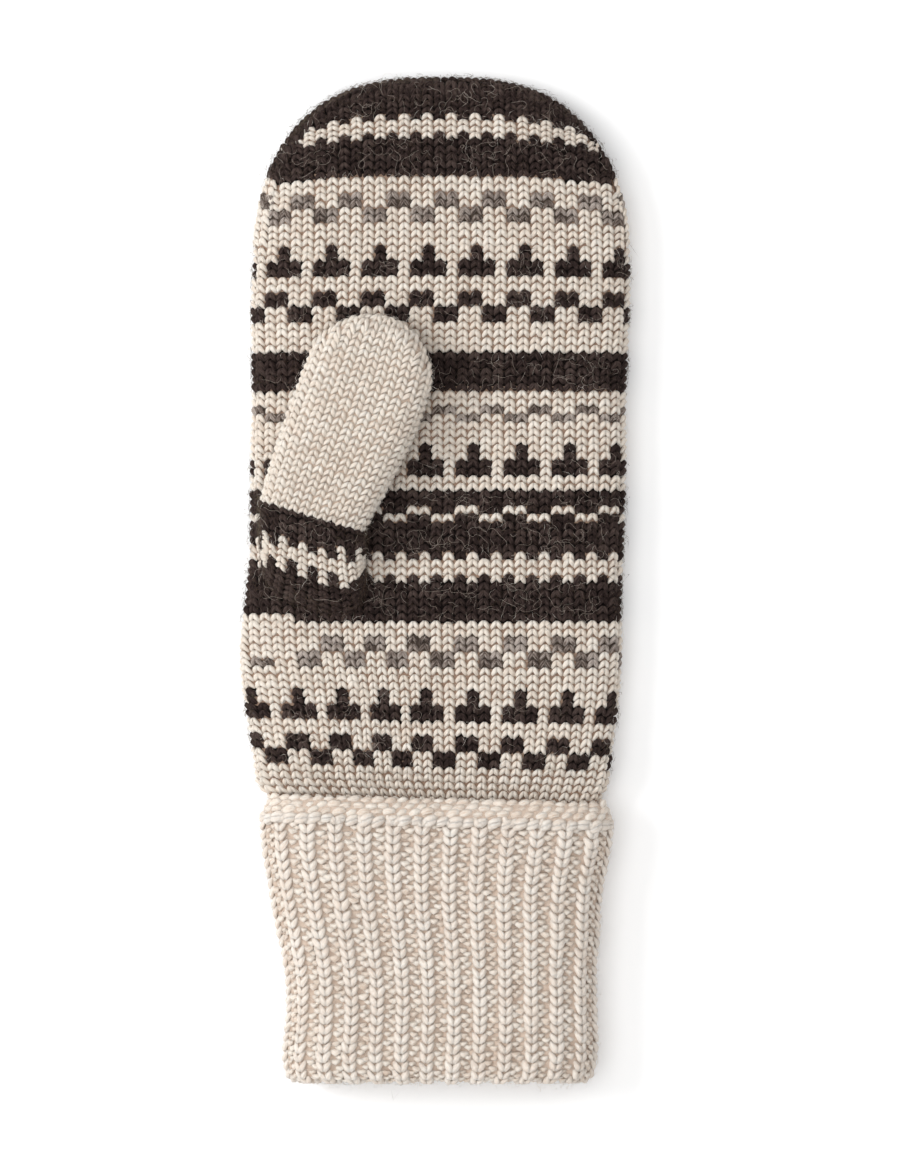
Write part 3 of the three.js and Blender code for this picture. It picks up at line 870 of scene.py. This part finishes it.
def lofted(rings, ring_joined=False):
    """A closed surface through rings of points [ring, place]: joined end to end, or closed by a fan at
    each end. Its faces are turned outwards where its volume comes out negative."""
    count, places = rings.shape[:2]
    points = rings.reshape(-1, 3)
    n, m = np.meshgrid(np.arange(count if ring_joined else count - 1), np.arange(places), indexing="ij")
    n, m = n.ravel(), m.ravel()
    after, nxt = (n + 1) % count, (m + 1) % places
    quads = np.stack([n * places + m, n * places + nxt, after * places + nxt, after * places + m], 1)
    tris = np.empty((0, 3), int)
    if not ring_joined:
        points = np.concatenate([points, rings[[0, -1]].mean(1)])
        m = np.arange(places)
        nxt, last, hub = (m + 1) % places, (count - 1) * places, count * places
        tris = np.concatenate([
            np.stack([np.full(places, hub), nxt, m], 1),
            np.stack([np.full(places, hub + 1), last + m, last + nxt], 1),
        ])
    a, b, c, d = (points[quads[:, n]] for n in range(4))
    volume = (np.cross(b - a, c - a) + np.cross(c - a, d - a)) * (a + c)
    if volume.sum() < 0:
        quads, tris = quads[:, ::-1], tris[:, ::-1]
    return {"points": points, "quads": quads, "tris": tris}


def coloured_like(points, stitches):
    """The colour of the stitch that is nearest to each point."""
    at, colour = stitches[0].astype(np.float32), stitches[4]
    found = []
    for some in np.array_split(points.astype(np.float32), max(len(points) // 500, 1)):
        gaps = ((some[:, None] - at[None]) ** 2).sum(-1)
        found.append(colour[gaps.argmin(1)])
    return np.concatenate(found)


def face_middles(form):
    return np.concatenate([form["points"][form["quads"]].mean(1), form["points"][form["tris"]].mean(1)])


SHELL = 1.15  # how far the wall's outer side lies under the frame's, with the stitches over it
CUFF_SHELL = 1.1


def wall_of(section_of, start, top, tip, places, steps):
    """A tube's wall, closed at its tip: rings up the inner side turned over into rings up the outer
    one, closer together towards the tip. Steps are those up each side and round each tip."""
    rings = []
    for inset, order, (straight, bent) in zip((WALL, SHELL), (-1, 1), steps):
        end = top - inset
        heights = np.concatenate([
            np.linspace(start, end - tip, straight, endpoint=False),
            end - tip * np.linspace(1, 0.02, bent) ** 2,
        ])
        x, z = round_tube(section_of(heights, inset), places)
        rings.append(stacked(x, heights[:, None] + 0 * x, z)[::order])
    return np.concatenate(rings)


def make_hand_wall(stitches):
    """The hand's wall, and for each face the colour of the nearest stitch."""
    places = np.arange(2 * HAND_WALES) / (2 * HAND_WALES)
    steps = ((14, 12), (66, 24))
    form = lofted(wall_of(hand_section, HAND_BOTTOM, HAND_TOP, TIP_LENGTH, places, steps))
    return form, coloured_like(face_middles(form), stitches)


def make_thumb_wall():
    places = np.arange(52) / 52
    steps = ((5, 10), (12, 16))
    rings = wall_of(thumb_section, CLEARANCE, THUMB_LENGTH, THUMB_TIP_LENGTH, places, steps)
    return lofted(on_thumb(rings))


def make_gusset_wall(stitches):
    """The gusset's wall, a bent tube with both ends open, and the colours of its faces."""
    places = np.arange(52) / 52
    tilts = np.linspace(0, np.pi / 2, 17)
    rings = np.concatenate([gusset_rings(tilts, places, SHELL), gusset_rings(tilts[::-1], places, WALL)])
    form = lofted(rings, ring_joined=True)
    return form, coloured_like(face_middles(form), stitches)


def make_cuff_wall():
    """The cuff's wall: its two layers joined by the fold, with ribs that rise and fall as a cosine."""
    places = np.arange(RIBS * 4) / (RIBS * 4)
    furrow = RIB_DEPTH * 0.55 * (1 - np.cos(2 * np.pi * RIBS * places))
    run = np.concatenate([np.linspace(-1.6, 65, 20), np.linspace(66, 75, 9), np.linspace(78, 134, 9)])
    crest, valley = (cuff_rings(run, places, CUFF_SHELL + extra) for extra in (0, 1))
    outer = crest + (valley - crest) * furrow[None, :, None] * 0.6
    inner = cuff_rings(run[::-1], places, WALL)
    return lofted(np.concatenate([outer, inner]), ring_joined=True)


# How far in the middle of the edge's wall lies, half its thickness, and how far in its top leans
EDGE_INSET, EDGE_BULGE, EDGE_LEAN = 2.1, 1.2, 0.9


def make_edge_wall():
    """The edge's wall: a rounded bar carried round the rim, a superellipse in section."""
    turn = np.linspace(0, 2 * np.pi, 14, endpoint=False)
    y = CUFF_HEIGHT + EDGE_HEIGHT / 2 + 0.3 + 0.42 * EDGE_HEIGHT * np.sin(turn)
    inset = EDGE_INSET - EDGE_BULGE * np.sign(np.cos(turn)) * np.abs(np.cos(turn)) ** 0.8
    inset = inset + EDGE_LEAN * ease((y - 73) / 5)
    x, z = round_tube(cuff_section(y, inset), np.arange(104) / 104)
    return lofted(sloped(stacked(x, y[:, None] + 0 * x, z)), ring_joined=True)


def loose_hairs(places, count, length, radius, curl, lift, arch, steps):
    """Fine hairs on the wool: each starts on a stitch, keeps turning at its own rate, a length over a
    curl's radius, wavers by a sine, and rises as the sine of an arch. A three-sided thread that is
    pointed at both ends runs along it."""
    some = chance.integers(len(places[0]), size=count)
    at, across, out = (places[n][some] for n in (0, 1, 3))
    across = across / np.linalg.norm(across, axis=1, keepdims=True)
    forward = np.cross(out, across)
    share = np.linspace(0, 1, steps + 2)[None, :]
    reach = length * np.exp(chance.normal(0, 0.4, (count, 1)))
    turning = chance.choice([-1, 1], (count, 1)) * np.exp(chance.normal(0, 0.5, (count, 1))) / curl
    wave = chance.uniform(0, 2 * np.pi, (count, 1))
    heading = chance.uniform(0, 2 * np.pi, (count, 1)) + turning * reach * share
    heading = heading + 0.6 * np.sin(wave + 7 * share)
    ahead = np.cos(heading)[..., None] * across[:, None] + np.sin(heading)[..., None] * forward[:, None]
    line = np.cumsum(ahead * (reach / (steps + 1))[..., None], axis=1)
    line = at[:, None] + line + chance.uniform(-1, 1, (count, 1, 1)) * across[:, None]
    rise = 0.7 + lift * np.abs(chance.normal(0, 1, (count, 1))) * np.sin(np.pi * arch * share)
    line = line + out[:, None] * rise[..., None]
    line[..., 2] = np.maximum(line[..., 2], radius)
    side = np.cross(ahead, out[:, None])
    turn = 2 * np.pi * np.arange(3) / 3
    ring = np.cos(turn)[:, None] * side[:, :, None] + np.sin(turn)[:, None] * out[:, None, None]
    rings = line[:, 1:-1, None] + radius * ring[:, 1:-1]
    points = np.concatenate([rings.reshape(count, -1, 3), line[:, [0, -1]]], axis=1)
    starts = (np.arange(count) * points.shape[1])[:, None, None]
    quads, tips = tube_faces(steps, 3)[:2]
    return {
        "points": points.reshape(-1, 3),
        "quads": (quads[None] + starts).reshape(-1, 4),
        "tris": (tips[None] + starts).reshape(-1, 3),
    }


# Finishes


def linear(code, alpha=1.0):
    """An sRGB hex colour as the linear values that a shader takes."""
    values = np.array([int(code[n : n + 2], 16) for n in (1, 3, 5)]) / 255
    values = np.where(values <= 0.04045, values / 12.92, ((values + 0.055) / 1.055) ** 2.4)
    return (*values.tolist(), alpha)


def put(tree, kind, settings=None, **inputs):
    """Adds a node, with its settings, and sets or links its inputs. They are named with _ for a space,
    or numbered, as n0 for the first."""
    node = tree.nodes.new(kind)
    for name, value in (settings or {}).items():
        setattr(node, name, value)
    for name, value in inputs.items():
        numbered = name[0] == "n" and name[1:].isdigit()
        socket = node.inputs[int(name[1:]) if numbered else name.replace("_", " ")]
        if isinstance(value, bpy.types.NodeSocket):
            tree.links.new(value, socket)
        else:
            socket.default_value = value
    return node


def new_finish(name):
    finish = bpy.data.materials.new(name)
    finish.use_nodes = True
    tree = finish.node_tree
    tree.nodes.clear()
    return finish, tree


def blend_of(tree, share, first, second):
    mixed = put(tree, "ShaderNodeMix", {"data_type": "RGBA"}, n0=share, n6=first, n7=second)
    return mixed.outputs[2]


def close(tree, colour, height, depth, sheen, sheen_tint, glow=0.2):
    """The wool's own surface: rough, with hardly any gloss, a soft sheen from its loose hairs, and
    light that soaks a little way into it."""
    bump = put(tree, "ShaderNodeBump", None, Strength=0.7, Distance=depth * METRES, Height=height)
    surface = put(
        tree, "ShaderNodeBsdfPrincipled", None, Base_Color=colour, Roughness=0.95, IOR=1.5,
        Specular_IOR_Level=0.08, Sheen_Weight=sheen, Sheen_Roughness=0.5, Sheen_Tint=sheen_tint,
        Subsurface_Weight=glow, Subsurface_Radius=(1.0, 0.95, 0.9), Subsurface_Scale=0.0009,
        Normal=bump.outputs["Normal"],
    )
    put(tree, "ShaderNodeOutputMaterial", None, Surface=surface.outputs["BSDF"])


SCALE_AND_ADD = {"operation": "MULTIPLY_ADD"}
PLY_LENGTH = 3.4  # a ply winds once round the yarn in this length
PLY_WIDTH = 2.5  # each of the two takes half of the yarn's girth of 5 mm


def spun_wool(name, shade, body, light, sheen, tint, mottle=0.35, glow=0.2):
    """Spun wool yarn. Its two plies wind round each other, fine hairs run along it, and the colour is
    uneven from stitch to stitch, as undyed wool is. Real hairs are 0.03 mm thick; here they are drawn
    in bundles 0.4 mm wide and 1.7 mm long, so that they show."""
    finish, tree = new_finish(name)
    yarn = put(tree, "ShaderNodeUVMap", {"uv_map": "yarn"}).outputs[0]
    place = put(tree, "ShaderNodeTexCoord").outputs["Object"]
    tone = put(tree, "ShaderNodeAttribute", {"attribute_name": "tone"}).outputs["Fac"]
    parts = put(tree, "ShaderNodeSeparateXYZ", None, Vector=yarn).outputs
    spot = put(tree, "ShaderNodeCombineXYZ", None, X=parts[0], Y=parts[1], Z=tone).outputs[0]
    turns = (2 * math.pi / PLY_LENGTH, 2 * math.pi / PLY_WIDTH, 17.0)
    dot = {"operation": "DOT_PRODUCT"}
    wound = put(tree, "ShaderNodeVectorMath", dot, n0=spot, n1=turns).outputs["Value"]
    ply = put(tree, "ShaderNodeMath", {"operation": "SINE"}, n0=wound).outputs[0]
    bundles = (0.6, 2.4, 31.0)
    drawn = put(tree, "ShaderNodeVectorMath", {"operation": "MULTIPLY"}, n0=spot, n1=bundles).outputs[0]
    strands = put(
        tree, "ShaderNodeTexNoise", None, Vector=drawn, Scale=1.0, Detail=3.0, Roughness=0.65,
    ).outputs[0]
    strands = put(tree, "ShaderNodeMath", SCALE_AND_ADD, n0=strands, n1=2.0, n2=-0.5).outputs[0]
    height = put(tree, "ShaderNodeMath", SCALE_AND_ADD, n0=ply, n1=0.22, n2=strands).outputs[0]
    patches = put(tree, "ShaderNodeTexNoise", None, Vector=place, Scale=140.0, Detail=2.0).outputs[0]
    uneven = put(tree, "ShaderNodeMath", SCALE_AND_ADD, n0=tone, n1=mottle, n2=strands).outputs[0]
    uneven = put(tree, "ShaderNodeMath", SCALE_AND_ADD, n0=patches, n1=0.5, n2=uneven).outputs[0]
    dark = put(tree, "ShaderNodeMapRange", None, n0=uneven, n1=0.5, n2=0.95, n3=0.0, n4=1.0).outputs[0]
    pale = put(tree, "ShaderNodeMapRange", None, n0=uneven, n1=0.85, n2=1.35, n3=0.0, n4=1.0).outputs[0]
    colour = blend_of(tree, dark, linear(shade), linear(body))
    colour = blend_of(tree, pale, colour, linear(light))
    close(tree, colour, height, 0.35, sheen, linear(tint), glow)
    return finish


def wall_in_painted_shade(name, shade, body):
    """The wool deep between the stitches: matted, with knots every millimetre, and coloured darker than its
    yarn as painted shade for the gaps between the stitches.
    """
    finish, tree = new_finish(name)
    place = put(tree, "ShaderNodeTexCoord").outputs["Object"]
    knots = put(tree, "ShaderNodeTexNoise", None, Vector=place, Scale=900.0, Detail=2.0).outputs[0]
    colour = blend_of(tree, knots, linear(shade), linear(body))
    close(tree, colour, knots, 0.3, 0.2, linear(body))
    return finish


def loose_hair(name, dark, pale):
    """Single loose hairs, some pale and some darker, which catch the light along their length."""
    finish, tree = new_finish(name)
    place = put(tree, "ShaderNodeTexCoord").outputs["Object"]
    patches = put(tree, "ShaderNodeTexNoise", None, Vector=place, Scale=180.0, Detail=1.0).outputs[0]
    colour = blend_of(tree, patches, linear(dark), linear(pale))
    close(tree, colour, patches, 0.02, 0.3, linear(pale))
    return finish


# Sheep's wool in its own colours: cream, which is brushed soft on the cuff, dark brown, and a grey of
# dark and pale hairs spun together. The darker, pinker cream of the cuff's furrows and the rim's loops is
# painted shade.
CREAM_WOOL = spun_wool("cream_spun_wool", "#DDCEC0", "#E9DED1", "#EEE6DC", 0.1, "#F1EAE1", 0.3, 0.4)
CUFF_WOOL = spun_wool("cream_brushed_wool", "#E1D3C6", "#EADFD4", "#EFE8DF", 0.2, "#F3ECE4", 0.25, 0.45)
# A darker, pinker copy of the cream: painted shade for the bumps down in the cuff's furrows, also used on
# the rim's loops
FURROW_WOOL_IN_PAINTED_SHADE = spun_wool("cream_wool_in_furrows_painted_shade", "#D5C2B1", "#E8DBCE", "#F0E7DC", 0.15, "#F1EAE1", 0.5, 0.4)
DARK_WOOL = spun_wool("dark_brown_spun_wool", "#211917", "#352A28", "#554843", 0.12, "#6A5A50")
GREY_WOOL = spun_wool("grey_heather_spun_wool", "#3A302C", "#786B63", "#B8ADA5", 0.15, "#B4A9A0", 0.5)
# Each wall is coloured darker than its yarn: painted shade for the gaps between the stitches and between
# the ribs
CREAM_WALL = wall_in_painted_shade("cream_wool_between_stitches_painted_shade", "#826B5B", "#A28A79")
CUFF_WALL = wall_in_painted_shade("cream_wool_between_ribs_painted_shade", "#AD9685", "#E0D0C1")
DARK_WALL = wall_in_painted_shade("dark_wool_between_stitches_painted_shade", "#0E0A09", "#1C1513")
GREY_WALL = wall_in_painted_shade("grey_wool_between_stitches_painted_shade", "#3F362F", "#5E5249")
PALE_HAIR = loose_hair("pale_loose_hairs", "#8A7A6D", "#DCCFC2")
CREAM_HAIR = loose_hair("cream_loose_hairs", "#DCD0C3", "#F2ECE4")
DARK_HAIR = loose_hair("dark_brown_loose_hairs", "#2A201C", "#6A5648")


def make_stitches(name, places, wools, **size):
    """One piece for each colour of wool and each side of the mitten."""
    for side, facing in (("palm", places[3][:, 2] >= 0), ("back", places[3][:, 2] < 0)):
        for colour, (wool, slot, plump) in wools.items():
            chosen = facing & (places[4] == colour)
            if chosen.any():
                form = stamped(stitch(plump, **size), [v[chosen] for v in places])
                make_piece(f"{name}_{slot.split('_')[0]}_{side}", form, [wool])


# How upright the outward direction of a stitch is, at least where it lies flat, and at most where it
# is on the mitten's edge
LYING, STEEP = 0.8, 0.75


def make_mitten():
    """Lays the stitches, makes a piece of each kind, then the walls under them and the loose hairs."""
    wools = {
        CREAM: (CREAM_WOOL, "cream_wool", 1.0),
        DARK: (DARK_WOOL, "dark_wool", 1.07),
        GREY: (GREY_WOOL, "grey_wool", 0.98),
    }
    walls = [CREAM_WALL, DARK_WALL, GREY_WALL]
    hand, thumb, gusset = (knit().all() for knit in (knit_hand, knit_thumb, knit_gusset))
    ribs, bumps = (places.all() for places in knit_cuff())
    links, loops = (places.all() for places in knit_edge())
    make_stitches("hand_stitches", hand, wools, spread=1.04)
    make_stitches("gusset_stitches", gusset, wools, spread=1.08)
    make_stitches("thumb_stitches", thumb, wools, spread=1.13)
    make_stitches("cuff_ribs", ribs, {CREAM: (CUFF_WOOL, "cream_wool", 1.06)}, spread=1.06)
    for name, places, shape, loose, wool in (
        ("cuff_furrow_bumps", bumps, purl_bump(), 2.2, FURROW_WOOL_IN_PAINTED_SHADE),
        ("edge_chain_links", links, chain_link(), 2.0, CUFF_WOOL),
        ("edge_rim_loops", loops, rim_loop(), 2.0, FURROW_WOOL_IN_PAINTED_SHADE),
    ):
        make_piece(name, stamped(shape, places, loose), [wool])
    form, colours = make_hand_wall(hand)
    make_piece("hand_wall", form, walls, ["hand"], colours)
    form, colours = make_gusset_wall(gusset)
    make_piece("gusset_wall", form, walls, ["gusset"], colours)
    make_piece("thumb_wall", make_thumb_wall(), [CUFF_WALL], ["thumb"])
    make_piece("cuff_wall", make_cuff_wall(), [CUFF_WALL], ["cuff"])
    make_piece("edge_wall", make_edge_wall(), [CUFF_WALL], ["cuff_edge"])
    hand = [np.concatenate(v) for v in zip(hand, gusset)]
    dark, cream = ([v[hand[4] == colour] for v in hand] for colour in (DARK, CREAM))
    soft = [np.concatenate(v) for v in zip(thumb, ribs, bumps, links, loops, cream)]
    lying = [v[np.abs(dark[3][:, 2]) > LYING] for v in dark]
    pale = loose_hairs(lying, 1500, length=5.0, radius=0.03, curl=2.6, lift=0.45, arch=1.0, steps=8)
    make_piece("pale_hairs", pale, [PALE_HAIR])
    steep = [v[np.abs(dark[3][:, 2]) < STEEP] for v in dark]
    for name, places, count, length, lift, finish in (
        ("dark_fuzz", dark, 7000, 2.2, 0.4, DARK_HAIR),
        ("dark_edge_fuzz", steep, 3500, 1.7, 0.4, DARK_HAIR),
        ("cream_fuzz", soft, 17000, 2.0, 0.35, CREAM_HAIR),
    ):
        fuzz = loose_hairs(places, count, length, radius=0.045, curl=2.4, lift=lift, arch=0.7, steps=1)
        make_piece(name, fuzz, [finish])


def make_stage():
    """A plain white floor, a soft light from the upper left, a broad one overhead, and light from all
    round."""
    floor_mesh = bpy.data.meshes.new("floor")
    corners = [(-3, -3, -0.00005), (3, -3, -0.00005), (3, 3, -0.00005), (-3, 3, -0.00005)]
    floor_mesh.from_pydata(corners, [], [(0, 1, 2, 3)])
    finish, tree = new_finish("white_floor")
    surface = put(
        tree, "ShaderNodeBsdfPrincipled", None, Base_Color=linear("#F7F7F7"), Roughness=0.9,
        Emission_Color=linear("#FFFFFF"), Emission_Strength=0.13,
    )
    put(tree, "ShaderNodeOutputMaterial", None, Surface=surface.outputs["BSDF"])
    floor_mesh.materials.append(finish)
    floor = bpy.data.objects.new("floor", floor_mesh)
    bpy.context.scene.collection.objects.link(floor)
    for name, place, size, power in (
        ("key_light", (-1.45, 0.35, 1.1), 0.75, 17.0),
        ("overhead_light", (-0.5, -0.1, 2.7), 2.2, 37.0),
    ):
        lamp = bpy.data.lights.new(name, "AREA")
        lamp.size = size
        lamp.energy = power
        holder = bpy.data.objects.new(name, lamp)
        holder.location = place
        aim = np.array([0, 0, 0]) - np.array(place)
        holder.rotation_euler = (
            math.atan2(math.hypot(aim[0], aim[1]), -aim[2]), 0, math.atan2(aim[0], -aim[1]) + math.pi,
        )
        bpy.context.scene.collection.objects.link(holder)
    world = bpy.data.worlds.new("studio")
    world.use_nodes = True
    world.node_tree.nodes["Background"].inputs["Color"].default_value = linear("#FFFFFF")
    world.node_tree.nodes["Background"].inputs["Strength"].default_value = 0.5
    bpy.context.scene.world = world
    bpy.context.scene.view_settings.view_transform = "Standard"


def make_camera():
    """A long lens straight above the mitten, fingertips up, as the photograph looks down on it."""
    distance, framed = 2.4, 0.318
    camera = bpy.data.cameras.new("camera")
    camera.sensor_width = 36
    camera.lens = camera.sensor_width * (distance - 0.012) / framed
    holder = bpy.data.objects.new("camera", camera)
    holder.location = (0.004, -0.002, distance)
    bpy.context.scene.collection.objects.link(holder)
    bpy.context.scene.camera = holder


make_mitten()
make_stage()
make_camera()
